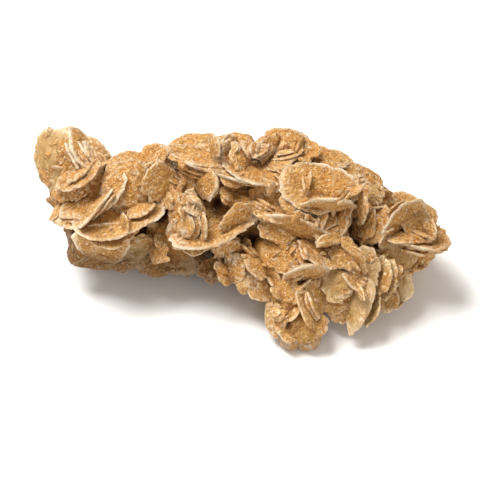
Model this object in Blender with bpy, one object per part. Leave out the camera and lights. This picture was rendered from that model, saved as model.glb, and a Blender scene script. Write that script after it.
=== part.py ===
"""A gypsum sand rose (desert rose): a cluster of lens-shaped crystal blades grown through one another.

The stone is one solid. It is set out on a plane that leans back from the viewer, as (right, up, out)
in millimetres, and stands on the worn ends of a few blades. Metres, +Z up, front towards -Y.
"""

import math
import random

import bmesh
import bpy
from mathutils import Matrix, Vector

MM = 0.001
LEAN = math.radians(45.0)  # the layout plane leans back by this from the vertical
LIFT = 28.0  # height of the layout's middle above the floor
CENTRE_X = 0.35  # the middle of the finished stone in X, in layout millimetres
CENTRE_Y = 7.94  # and in Y

MIDDLE_HALF = 0.8  # half thickness at the middle of the smallest blade
SWELL = 0.1  # what a blade's half width adds to that, as a share
FINE_LUMP = 13.5  # a core lump over this radius has the finer facets
LUMP_WOBBLE = 0.09  # how far a core lump's points move in and out, as a share of its radius
HIDDEN_SEED = 11
HIDDEN_TRIES = 14  # places tried on each back lump
HIDDEN_LONG = (8.5, 13.5)  # half length of a blade on the hidden sides
HIDDEN_FACING = 0.15  # a direction that points more than this to the viewer is left to the front blades
LOWEST = -3.0  # a hidden blade's rim reaches no lower than this before the floor trims it
FLOOR_DEPTH = 40.0

# Each blade is (right, up, out, half length, half width, hinge, tilt, dish). The hinge is the angle of
# its long axis in the layout plane, the tilt turns it about that axis, and the dish bends its rim.
EAR = [
    (-71, 30, -8, 15.5, 12, 108, 20, -1.5),
    (-61, 34.6, -3, 11.3, 8.5, 120, -60, 0),
    (-63, 25, 0, 10.5, 8, 34, 55, 1),
    (-58, 35, -6, 9, 7, -38, 50, 0),
]
LEFT_BOWL = [
    (-64, 11, -6, 11, 10, 10, 45, 0.5),
    (-48, 8.5, 2, 18, 14, 12, 44, 2.5),
    (-60, 15, -2, 12, 9, 25, 45, 0),
    (-57, 12, 5, 11, 8, 47, 80, 0),
    (-54, -1, 2, 11, 9, -10, -30, 0),
    (-64.2, -3, -6, 7, 6, 80, 40, 0),
    (-59, -6.5, -8, 10, 6.5, -8, -25, 0),
    (-65, 2, -14, 7, 6, 110, 30, 0),
    (-39, 12, 6, 6, 6, 25, 60, 0),
]
LEFT_CREST = [
    (-33, 22, 4, 10, 9.5, 60, -25, 0),
    (-45, 22, 1, 11, 11, 20, 8, 0),
    (-44, 28, -4, 12, 9, -5, 25, 0),
    (-51, 20, 2, 9, 8, 60, 45, 0),
    (-34, 31.5, -5, 9, 7.5, 25, 20, 0),
]
MIDDLE = [
    (-10, 5.8, 2, 19.5, 13, 17, 46, 2),
    (-1, 8, 9, 8.5, 7, 35, -40, 0),
    (-22, 7, 6, 10.5, 8, 100, 35, 0),
    (-13, 22, 7, 6.5, 7, 95, 50, 0),
    (4, 14, 3, 9, 8, -20, 40, 0),
]
RIDGE = [
    (-16, 31.5, 1, 14, 10, -14, 60, 1),
    (4, 27, 2, 13.5, 10, -20, 58, 1),
    (-2, 34, -6, 13, 10, -8, 35, 0),
    (-10, 36.5, 4, 5.5, 6, 98, 70, 0),
    (-18, 36, -7, 12.3, 8.5, 12, 35, 0),
    (-5, 35.5, -2, 7, 6.5, 80, -50, 0),
]
CROWN = [
    (17, 37.2, -10, 11.5, 9, 6, 30, 0),
    (23, 33, 0, 9, 8, 12, 48, 1),
    (17, 32, 1, 9, 8, 32, 60, 0),
    (13, 35.5, -3, 7, 7, 60, -40, 0),
    (12, 24, 3, 8, 7, 28, 30, 0),
    (11, 18, 4, 7, 7, -10, -30, 0),
]
BIG_DISC = [
    (30.5, 20, 8.5, 16, 10.3, -3, 16, 1.5),
    (34, 13, 11, 12, 9, 0, -72, 0),
    (47, 14, 9, 8, 7, 97, 70, 0),
    (22, 5, 8, 13.5, 7, -19, -62, 0),
    (28, 8, 8, 11.5, 7, -30, 60, 0),
    (15, 5, 5, 8, 7, -20, 20, 0),
]
SHOULDER = [
    (36, 32, -4, 8.5, 8, -8, 58, 0),
    (50, 22.5, -4, 9, 8.5, -35, 45, 0),
    (53, 18, 2, 5.5, 5.5, 95, 55, 0),
    (30, 32, -6, 8, 8, -20, 35, 0),
    (44, 25, -2, 7, 7.5, -50, 30, 0),
]
RIGHT_ROSE = [
    (65.5, 12, -8, 11, 9, -12, 35, 0),
    (63, 7, 3, 13, 10, 45, -55, 1.5),
    (53, 6, 4, 8.5, 8, 62, 45, 0),
    (69.4, 0, 0, 13.3, 11, -12, 62, 2),
    (76, 0, -5, 7, 7, 70, 10, 0),
    (71, -7, -4, 7, 7, 5, -40, 0),
]
RIGHT_FOOT = [
    (61, -7, 0, 9, 8.5, 0, -25, 0),
    (64, -18, -2, 6.5, 5, 88, 15, 0),
    (58, -15, 4, 8.5, 7, 82, 62, 0),
    (55, -14, 6, 8.5, 7, 86, 55, 0),
    (46, -23, 8, 13.5, 6.5, 78, 32, -1),
    (38, -18, 9, 6.5, 7.5, 0, 20, 0),
    (44.5, -17, 12, 6.5, 4, -42, 65, 0),
    (52, -28, 5, 7.5, 5, 68, 65, 0),
    (48, -11, 8, 9, 7.5, 100, 18, 0),
]
FRONT_FOOT = [
    (29, -5, 9, 8, 7, -35, 62, 0),
    (26, -13, 11, 9.5, 7.5, 8, -68, 0),
    (16, -18, 5, 11, 8.5, 82, 38, 0),
    (26, -27, 11, 9, 7, -68, 65, 0),
    (14, -31, 7, 7.5, 6, 100, 45, 0),
    (29, -23, 7, 8, 7, 80, -35, 0),
    (18.5, -36, 9, 5.5, 5, -30, 35, 0),
    (2, -17.5, 4, 4, 4, 0, -10, 0),
    (6, -10, 8, 7, 6, -50, 60, 0),
    (-2, -11, 4, 7, 5, 95, 30, 0),
]
UNDER_LEFT = [
    (-39, -5, -3, 8, 8, 30, -25, 0),
    (-24, -8.5, -5, 8, 7, -10, -35, 0),
    (-46, -8.5, -8, 8, 5, 0, -20, 0),
    (-5, -3, 3, 7, 6, 8, -45, 0),
    (-33, -10.5, -6, 8, 5, 0, -20, 0),
]
FRONT_BLADES = (
    EAR
    + LEFT_BOWL
    + LEFT_CREST
    + MIDDLE
    + RIDGE
    + CROWN
    + BIG_DISC
    + SHOULDER
    + RIGHT_ROSE
    + RIGHT_FOOT
    + FRONT_FOOT
    + UNDER_LEFT
)

# Each lump of the sandy core is (right, up, out, radius). The blades grow from these.
CORE_LUMPS = [
    (-66, 27, -10, 7),
    (-58, 22, -9, 10),
    (-40, 19, -12, 14),
    (-54, 4, -13, 12),
    (-26, 0, -12, 13),
    (-3, 25, -14, 15),
    (8, 12, -14, 15.5),
    (20, 25, -14, 14),
    (34, 14, -12, 16),
    (54, 10, -10, 12),
    (66, 4, -6, 8),
    (35, -6, -5, 10),
    (54, -13, -5, 11),
    (14, -8, -5, 12),
    (0, -9, -6, 9),
    (22, -24, 3, 9),
    (42, -20, 0, 9),
]
FOOT_LUMPS = [
    (25, -34, 5, 8),
    (19.7, -38, 4.6, 5.5),
    (27, -38.5, 4.8, 5.8),
    (2, 38.5, -8, 4),
]
BACK_LUMPS = [
    (-66, 14, -16, 9),
    (-48, 10, -24, 14),
    (-48, 20, -19, 12),
    (-22, 8, -25, 16),
    (-18, 20, -21, 14),
    (5, 7, -25, 17),
    (6, 22, -22, 14),
    (29, 6, -22, 16),
    (28, 20, -20, 13),
    (50, 3, -18, 13),
    (66, 1, -13, 8),
]

# Blades that carry the stone at the back, upright in the world: (x, y, height of the middle, half
# length, half width, turn of the blade's plane about the vertical).
FEET = [
    (-50, 26, 9.0, 11.5, 10, 25),
    (-30, 31, 9.5, 12, 10.5, 110),
    (-4, 37, 9.5, 12, 10.5, 60),
    (20, 34, 9.5, 12, 10.5, 140),
    (42, 24, 9.0, 11.5, 10, 70),
    (56, 10, 8.0, 10, 9, 20),
    (-34, 12, 9.0, 11, 9.5, 165),
]

# The stone's outline seen square to the layout plane, as (right, up). Hidden blades stay inside it.
TOP_EDGE = [
    (-82, 24),
    (-78, 40),
    (-66, 43),
    (-58, 38.5),
    (-50, 34.5),
    (-38, 34),
    (-30, 38),
    (-12, 42),
    (4, 41),
    (26, 42),
    (32, 36),
    (42, 32.5),
    (56, 24),
    (62, 18),
    (70, 16.5),
    (76, 11),
    (81, 4),
]
BOTTOM_EDGE = [
    (-82, 22),
    (-76, 6),
    (-70, -3),
    (-64, -10),
    (-45, -12),
    (-28, -14),
    (-8, -16.5),
    (2, -20),
    (8, -24),
    (14, -34),
    (32, -34),
    (42, -33),
    (54, -27),
    (66, -25),
    (71, -12),
    (80, -4),
]

SAND_COLOUR = (0.50, 0.30, 0.15, 1.0)


def clear_scene():
    for thing in list(bpy.data.objects):
        bpy.data.objects.remove(thing, do_unlink=True)


def to_world(right, up, out):
    """A direction in the layout as a world direction."""
    return Vector(
        (
            right,
            up * math.sin(LEAN) - out * math.cos(LEAN),
            up * math.cos(LEAN) + out * math.sin(LEAN),
        )
    )


def to_layout(vector):
    """A world direction as (right, up, out) in the layout."""
    return Vector(
        (
            vector.x,
            vector.y * math.sin(LEAN) + vector.z * math.cos(LEAN),
            vector.z * math.sin(LEAN) - vector.y * math.cos(LEAN),
        )
    )


def place(right, up, out):
    """A point of the layout in world millimetres, with the stone's origin under its middle."""
    return to_world(right, up, out) + Vector((-CENTRE_X, -CENTRE_Y, LIFT))


def front_blade(row):
    """(middle, long axis, width axis, half length, half width, dish) of a blade of the layout."""
    right, up, out, long_half, wide_half, hinge, tilt, dish = row
    hinge, tilt = math.radians(hinge), math.radians(tilt)
    along = to_world(math.cos(hinge), math.sin(hinge), 0)
    across = to_world(-math.sin(hinge), math.cos(hinge), 0) * math.cos(tilt)
    across -= to_world(0, 0, 1) * math.sin(tilt)
    return place(right, up, out), along, across, long_half, wide_half, dish


def foot_blade(row):
    x, y, height, long_half, wide_half, turn = row
    turn = math.radians(turn)
    along = Vector((math.cos(turn), math.sin(turn), 0.15)).normalized()
    across = Vector((0, 0, 1)) - along * along.z
    return Vector((x - CENTRE_X, y - CENTRE_Y, height)), along, across.normalized(), long_half, wide_half, 0


def edge_height(edge, right):
    """The up value of an outline at this distance along it, or None past its ends."""
    for (x0, y0), (x1, y1) in zip(edge, edge[1:]):
        if x0 <= right <= x1:
            return y0 + (y1 - y0) * (right - x0) / (x1 - x0)
    return None


def inside_outline(blade):
    """Whether the blade's rim stays inside the outline and above the floor's trimming depth."""
    middle, along, across, long_half, wide_half, _ = blade
    for step in range(12):
        angle = math.tau * step / 12
        rim = middle + along * long_half * math.cos(angle) + across * wide_half * math.sin(angle)
        flat = to_layout(rim - Vector((-CENTRE_X, -CENTRE_Y, LIFT)))
        top = edge_height(TOP_EDGE, flat.x)
        bottom = edge_height(BOTTOM_EDGE, flat.x)
        if top is None or bottom is None:
            return False
        if not bottom < flat.y < top or rim.z < LOWEST:
            return False
    return True


def even_directions(count):
    """Directions spread evenly over a sphere."""
    golden = math.pi * (3 - math.sqrt(5))
    for i in range(count):
        z = 1 - 2 * (i + 0.5) / count
        radius = math.sqrt(1 - z * z)
        yield Vector((radius * math.cos(golden * i), radius * math.sin(golden * i), z))


def buried(point, own, lumps):
    """Whether a point on one lump lies inside another."""
    for lump in lumps:
        if lump is own:
            continue
        if (point - place(*lump[:3])).length < lump[3] * 0.9:
            return True
    return False


def upright_axes(direction, rng):
    """Two axes of a blade that stands on end along this direction, turned at random about it."""
    other = direction.orthogonal().normalized()
    other.rotate(Matrix.Rotation(rng.uniform(0, math.tau), 3, direction))
    lean = Matrix.Rotation(math.radians(rng.uniform(-25, 25)), 3, other)
    along = direction.copy()
    along.rotate(lean)
    return along.normalized(), other


def hidden_blades():
    """Blades over the back and the underside, standing out of the back lumps."""
    rng = random.Random(HIDDEN_SEED)
    viewer = to_world(0, 0, 1)
    lumps = CORE_LUMPS + FOOT_LUMPS + BACK_LUMPS
    blades = []
    for lump in BACK_LUMPS:
        middle = place(*lump[:3])
        for direction in even_directions(HIDDEN_TRIES):
            along, across = upright_axes(direction, rng)
            long_half = rng.uniform(*HIDDEN_LONG)
            wide_half = long_half * rng.uniform(0.75, 0.95)
            start = middle + direction * (lump[3] + rng.uniform(-1.5, 1.0))
            blade = (start, along, across, long_half, wide_half, rng.uniform(-1, 1))
            if direction.dot(viewer) > HIDDEN_FACING or buried(start, lump, lumps):
                continue
            if inside_outline(blade):
                blades.append(blade)
    return blades


def rim_share(angle, number):
    """How far the rim reaches at an angle, as a share of the ellipse, so that no blade is a true disc."""
    wave = 0.035 * math.sin(2 * angle + 1.7 * number)
    wave += 0.045 * math.sin(3 * angle + 2.9 * number)
    wave += 0.025 * math.sin(5 * angle + 0.8 * number)
    return 1.0 + wave


def segments_for(long_half):
    if long_half > 12.4:
        return 11
    if long_half > 8.9:
        return 8
    return 6


def blade_mesh(blade, number):
    """A sphere of one ring, reshaped to a lens with a sharp rim and a wavy outline."""
    middle, along, across, long_half, wide_half, dish = blade
    facing = along.cross(across)
    bm = bmesh.new()
    bmesh.ops.create_uvsphere(bm, u_segments=segments_for(long_half), v_segments=2, radius=1)
    for vertex in bm.verts:
        reach = math.hypot(vertex.co.x, vertex.co.y)
        angle = math.atan2(vertex.co.y, vertex.co.x)
        on_rim = reach > 0.1
        share = rim_share(angle, number) if on_rim else 0.0
        half = MIDDLE_HALF + SWELL * wide_half
        x = math.cos(angle) * share * long_half
        y = math.sin(angle) * share * wide_half
        z = dish if on_rim else math.copysign(half, vertex.co.z)
        vertex.co = (middle + along * x + across * y + facing * z) * MM
    return bm


def lump_mesh(lump):
    """A ball of sand and small crystals, with its points pushed in and out so that it is no true ball."""
    bm = bmesh.new()
    fine = lump in FOOT_LUMPS or lump[3] > FINE_LUMP
    bmesh.ops.create_icosphere(bm, subdivisions=2 if fine else 1, radius=lump[3] * MM)
    for number, vertex in enumerate(bm.verts):
        vertex.co *= 1.0 + LUMP_WOBBLE * math.sin(2.4 * number + lump[0])
    bmesh.ops.translate(bm, verts=bm.verts, vec=place(*lump[:3]) * MM)
    return bm


def floor_block():
    bm = bmesh.new()
    bmesh.ops.create_cube(bm, size=1.0)
    bmesh.ops.scale(bm, verts=bm.verts, vec=Vector((400, 400, FLOOR_DEPTH)) * MM)
    bmesh.ops.translate(bm, verts=bm.verts, vec=Vector((0, 0, -FLOOR_DEPTH / 2)) * MM)
    return bm


def add_object(name, bm, collection):
    bmesh.ops.recalc_face_normals(bm, faces=bm.faces)
    mesh = bpy.data.meshes.new(name)
    bm.to_mesh(mesh)
    bm.free()
    thing = bpy.data.objects.new(name, mesh)
    collection.objects.link(thing)
    return thing


def new_collection(name, helper):
    collection = bpy.data.collections.new(name)
    bpy.context.scene.collection.children.link(collection)
    collection.hide_render = helper
    return collection


def add_helper(name, bm, collection):
    thing = add_object(name, bm, collection)
    thing.hide_render = True
    thing.display_type = "WIRE"
    return thing


def keep_outer_shell(mesh):
    """Drops the shells sealed inside the stone, which nothing could reach."""
    bm = bmesh.new()
    bm.from_mesh(mesh)
    bm.verts.ensure_lookup_table()
    unseen = set(bm.verts)
    shells = []
    while unseen:
        stack = [unseen.pop()]
        shell = []
        while stack:
            vertex = stack.pop()
            shell.append(vertex)
            for edge in vertex.link_edges:
                other = edge.other_vert(vertex)
                if other in unseen:
                    unseen.remove(other)
                    stack.append(other)
        shells.append(shell)
    largest = max(shells, key=len)
    for shell in shells:
        if shell is not largest:
            bmesh.ops.delete(bm, geom=shell, context="VERTS")
    bm.to_mesh(mesh)
    bm.free()


def gypsum_material():
    material = bpy.data.materials.new("sandy gypsum")
    material.use_nodes = True
    shader = material.node_tree.nodes["Principled BSDF"]
    shader.inputs["Base Color"].default_value = SAND_COLOUR
    shader.inputs["Roughness"].default_value = 0.75
    shader.inputs["Metallic"].default_value = 0.0
    material.diffuse_color = SAND_COLOUR
    return material


def build():
    clear_scene()
    stone_parts = new_collection("Sand rose", helper=False)
    crystals = new_collection("Sand rose crystals", helper=True)
    cutters = new_collection("Sand rose cutters", helper=True)

    lumps = CORE_LUMPS + FOOT_LUMPS + BACK_LUMPS
    first, rest = lumps[0], lumps[1:]
    for number, lump in enumerate(rest):
        add_helper(f"core_{number:02d}", lump_mesh(lump), crystals)
    blades = [front_blade(row) for row in FRONT_BLADES]
    blades += [foot_blade(row) for row in FEET]
    blades += hidden_blades()
    for number, blade in enumerate(blades):
        add_helper(f"blade_{number:03d}", blade_mesh(blade, number), crystals)
    floor = add_helper("floor_block", floor_block(), cutters)

    grown = add_object("grown", lump_mesh(first), stone_parts)
    join = grown.modifiers.new("join", "BOOLEAN")
    join.operation = "UNION"
    join.operand_type = "COLLECTION"
    join.collection = crystals
    join.solver = "EXACT"
    trim = grown.modifiers.new("trim", "BOOLEAN")
    trim.operation = "DIFFERENCE"
    trim.object = floor
    trim.solver = "EXACT"
    graph = bpy.context.evaluated_depsgraph_get()
    mesh = bpy.data.meshes.new_from_object(grown.evaluated_get(graph))
    bpy.data.objects.remove(grown, do_unlink=True)
    keep_outer_shell(mesh)
    mesh.materials.clear()
    mesh.materials.append(gypsum_material())
    stone = bpy.data.objects.new("sand_rose", mesh)
    stone_parts.objects.link(stone)


build()
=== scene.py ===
"""A gypsum sand rose: lens-shaped crystal blades with worn pale rims, grown through one another and
crusted with sand. The blades stand where the solid's blades stand, each with its own worn outline,
thin side leaves and sandy relief, and are joined into one closed skin. Lengths are in mm where no
comment says otherwise."""

import math
import random

import bmesh
import bpy
import numpy as np
from mathutils import Matrix, Vector, noise


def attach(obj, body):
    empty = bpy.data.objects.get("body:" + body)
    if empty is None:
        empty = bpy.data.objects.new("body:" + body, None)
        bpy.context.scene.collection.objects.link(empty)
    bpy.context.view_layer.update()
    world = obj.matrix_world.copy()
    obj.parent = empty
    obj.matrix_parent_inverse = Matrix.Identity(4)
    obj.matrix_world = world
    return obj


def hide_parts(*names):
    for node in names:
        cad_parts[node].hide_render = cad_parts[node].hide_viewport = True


MM = 0.001
LEAN = math.radians(45.0)  # the layout plane leans back by this from the vertical
LIFT = 28.0  # height of the layout's middle above the floor
CENTRE_X = 0.35  # the middle of the finished stone in X
CENTRE_Y = 7.94  # and in Y
LOWEST = -3.0  # how low a rim may reach before the floor trims it
RIM_CHECKS = 12  # points of a rim that have to lie inside
BURIED = 0.9  # share of a lump's radius within which a point is inside it

# The lens shape of a blade.
MIDDLE_HALF = 0.8  # half thickness at the middle of the narrowest blade
SWELL = 0.1  # what a blade's half width adds to that, as a share
RIM_HALF = 0.28  # half thickness of the thinnest worn rim
RIM_SWELL = 0.022  # what a blade's mean radius adds to that, as a share
RIM_BAND = 0.6  # width of the blunt band along the rim
BAND_START = 0.9  # where that band starts at the latest, as a share of the radius
BAND_RING = 0.02  # how far past the band's middle its ring of points lies
BAND_THIN = 0.85  # what that ring has of the rim's half thickness
LEAST_HALF = 0.2  # least half thickness inside the rim
LENS_POWER = 1.6  # how evenly a face falls from the middle to the rim
POINTS = (0.0, 0.3, 0.1, 0.45)  # how pointed the ends of the blades are, by turns
SPACING = 1.15  # distance between the points along a blade's rim
RING_STEP = 1.5  # distance between the rings of points on a blade's face
SMALL_SPACING = 1.2  # the same two distances on a short blade
SMALL_RING_STEP = 2.0
SHORT_BLADE = 5.5  # half length of the longest of those
FEWEST_SEGMENTS = 10
FEWEST_RINGS = 2

# How a blade is worn. Reaches are shares of the radius, and noises (waves for each mm, height).
WAVES = [(2, 0.035, 1.7), (3, 0.045, 2.9), (5, 0.025, 0.8)]  # (waves, height, turn for each blade)
BROKEN_SIDES = (2, 3, 4, 5)
BROKEN_REACH = (0.78, 0.97)  # how far out the straight broken sides lie
WHOLE_SIDES = (1, 2)
WHOLE_REACH = (0.9, 0.97)
BITE_DEPTH = (0.04, 0.13)
BITE_WIDTH = (0.10, 0.28)  # in radians
CHIP = 1.0  # depth of the nicks in a worn rim
CHIP_FULL = 6  # mean radius from which they have that depth
CHIP_NOISE = ((0.45, 1.0), (1.1, 0.6))
RELIEF = 0.75  # height of the sandy ridges along a blade's faces
RELIEF_FULL = 7  # mean radius from which they have that height
RELIEF_DRAW = (0.4, 1.2)  # ridges along a blade and across it
RELIEF_NOISE = ((0.33, 1.0), (0.8, 0.5))
WARP = 0.06  # how far a blade bends out of its plane, as a share of its length
WARP_WAVE = 9

# Blades over the back and the underside.
HIDDEN_SEED = 11
HIDDEN_TRIES = 14  # blades tried on each back lump
HIDDEN_LONG = (8.5, 13.5)
HIDDEN_FACING = 0.15  # cosine to the photo's viewer above which none stands

# Thin leaves beside the larger blades.
LEAF_SEED = 5
LEAF_BLADE = 6.5  # half length of the shortest blade with leaves
LEAF_PAIR_BLADE = 8.5  # and of the shortest with up to two on a side

# Slivers that stand out of the faces.
SPROUT_SEED = 41
SPROUTS_PER_MM = 0.36  # groups of slivers on a blade for each mm of its half length
SPROUTS_WHOLE = 0.35  # share of them that a whole blade has
SPROUT_LONG = (2.4, 7.0)
SPROUT_LEAST = 0.8  # the shortest sliver, as a share of the least half length

# Small crystals over the core lumps.
CRUST_SEED = 23
CRUST_TRIES = 34  # crystals tried on a lump of CRUST_LUMP, and on others by their area
CRUST_LUMP = 14
CRUST_FEWEST = 8  # tried on every lump besides
CRUST_LONG = (2.6, 5.2)
CRUST_LOWEST = 3.0

# The sandy lumps, and the joining of all shapes.
LUMP_NOISE = ((0.16, 1.1), (0.5, 0.45))
LUMP_SUNK = 0.5  # how far a lump's surface lies inside its radius on the whole
LUMP_FULL = 5  # radius from which a lump has its full relief
GRAIN_RADIUS = 3  # radius of the largest loose grain
LUMP_RIM = 9.0  # the way from a rim that a lump's surface is given
FLOOR_BLOCK = (0.4, 0.4, 0.04)  # in metres
GROUP = 24  # shapes joined in one go
MOST_TRIANGLES = 197000

# The two UV layers, and the key that tells the material what a blade is.
FACE_LAYER = "face_cm"  # where a point lies on its blade's face, in centimetres
INFO_LAYER = "blade_info"  # its way from the rim in mm, and the blade's key
KEY_STEP = 0.61803  # spreads the keys of the blades over 0 to 1
CLEAR_KEY = 2.0  # added to the key of a clear blade
WHOLE_KEY = 4.0  # added to the key of a whole blade
LUMP_KEY = -1.0  # the key of a sandy lump
PALE_KEY = -3.0  # the key of a lump of pale grey crystal

SAND = (0.60, 0.264, 0.052, 1)
DEEP_SAND = (0.28, 0.102, 0.016, 1)
PALE_SAND = (0.74, 0.410, 0.122, 1)
HONEY = (0.42, 0.225, 0.056, 1)
CLEAR = (0.35, 0.205, 0.064, 1)
CLEAR_PALE = (0.51, 0.355, 0.16, 1)
# Cream of worn rims, flecks and bruised patches, and of painted highlights (glints).
CREAM = (0.92, 0.79, 0.58, 1)
GRAIN_LIGHT = (0.87, 0.60, 0.28, 1)
PALE_CRYSTAL = (0.66, 0.58, 0.48, 1)
PAINTED_SHADE = (0.44, 0.40, 0.36, 1)  # painted shade: multiplies the colours of the base below the overhanging left half
PAINTED_PIT_SHADE = (0.24, 0.15, 0.12, 1)  # painted shade that multiplies the colours of the deep recesses

# The material's noises, as (waves for each metre, detail, roughness where not 0.55).
BROAD = (45, 3)  # paler and darker stretches of sand
PATCHES = (190, 5, 0.68)  # hollows full of deep sand
SAND_LUMPS = (420, 4, 0.62)
GRAIN = (1500, 2, 0.7)
COARSE_GRAIN = (800, 3, 0.65)
STEP_WAVER = (120, 3)
STREAK_BEND = (95, 2)
STREAKS = (1.0, 4, 0.65)  # the waves are in STREAK_DRAW
BARE = (130, 4, 0.6)  # where a clear blade is bare of sand
HONEYED = (28, 2)
STREAKY = (85, 2)
CLOUDY = (60, 4)
RIM_GAPS = (90, 6, 0.7)
BRIGHT_RIMS = (70, 3)
WIDE_RIMS = (60, 2)
FLECKS = (520, 3, 0.6)
BRUISES = (75, 2)

STREAK_TURN = 2.4  # radians that a key of 1 turns the streaks of a blade
STREAK_WAVER = 0.9  # how much the wavering turns them, against the key
STREAK_DRAW = (3.6, 11.0, 1.0)  # streaks per centimetre along and across them
STEPS_PER_MM = 0.45  # growth steps between the rim and the middle
STEP_BEND = 2.5  # how many steps their lines waver by
GROWTH_LINES = {"Scale": 1.3, "Distortion": 12.0, "Detail": 4.0, "Detail Scale": 1.6}
BUMP = {"Strength": 0.9, "Distance": 0.0008}
GYPSUM = {
    "Subsurface Weight": 0.10,
    "Subsurface Radius": (1.0, 0.55, 0.25),
    "Subsurface Scale": 0.0012,
    "IOR": 1.52,
    "Specular IOR Level": 0.35,
}
FLOOR = {"Base Color": (0.93, 0.92, 0.91, 1), "Roughness": 0.9, "Specular IOR Level": 0.0}

# The studio, in metres. Lights are (name, place, size, power) and look at the floor's middle.
FLOOR_SIZE = 6
LIGHTS = [
    ("overhead", (-0.28, 0.12, 0.75), 0.4, 9.0),
    ("front_fill", (0.25, -0.75, 0.5), 0.6, 1.6),
]
SKY = {"Color": (1, 0.95, 0.88, 1), "Strength": 0.50}
CAMERA_LENS = 150
CAMERA_SENSOR = 36
CAMERA_AWAY = 0.788

# Middles of the clear blades, olive or grey with little sand: (right, up, out).
CLEAR_BLADES = [
    (-71, 30, -8), (-68.5, 36.5, -9.5), (-24, -8.5, -5), (-39, -5, -3), (46, -23, 8), (58, -15, 4),
    (48, -11, 8), (55, -14, 6), (38, -18, 9), (52, -28, 5), (53, 18, 2), (61, -7, 0), (64, -18, -2),
    (58, -24, 0),
]

# Middles of the blades that run out to a point: (right, up, out).
POINTED_BLADES = [(46, -23, 8), (52, -28, 5)]

# Middles of the blades whose rims and faces show whole: (right, up, out).
WHOLE_BLADES = [
    (30.5, 20, 8.5), (34, 13, 11), (63, 7, 3), (69.4, 0, 0), (-71, 30, -8), (17, 37.2, -10),
    (-18, 36, -7), (65.5, 12, -8), (-57, 12, 5), (-51, 20, 2), (-60, 15, -2), (-64, 11, -6), (-54, -1, 2),
    (-61, 34.6, -3), (-58, 35, -6), (-61.5, 33, -1), (-59.5, 34.5, -3), (-64, 32, -1), (-58.5, 33, -2),
    (-61, 31, 0.5), (48, -11, 8), (-48, 8.5, 2), (-10, 5.8, 2), (-16, 31.5, 1), (4, 27, 2), (-13, 22, 7),
    (26, -13, 11), (22, 5, 8), (46, -23, 8), (-5, 25.8, 4.5), (-17, 31, 4.5), (-68.5, 36.5, -9.5),
]

# Recesses that small crystals leave open, darkened by painted shade in the material: (right, up, radius).
RECESSES = [
    (7, 1, 5.5), (-32, 10, 4.5), (-40, 7, 3), (40.5, 0, 3), (-8.5, 14.5, 3), (-16, 25, 2.5),
]

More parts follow.
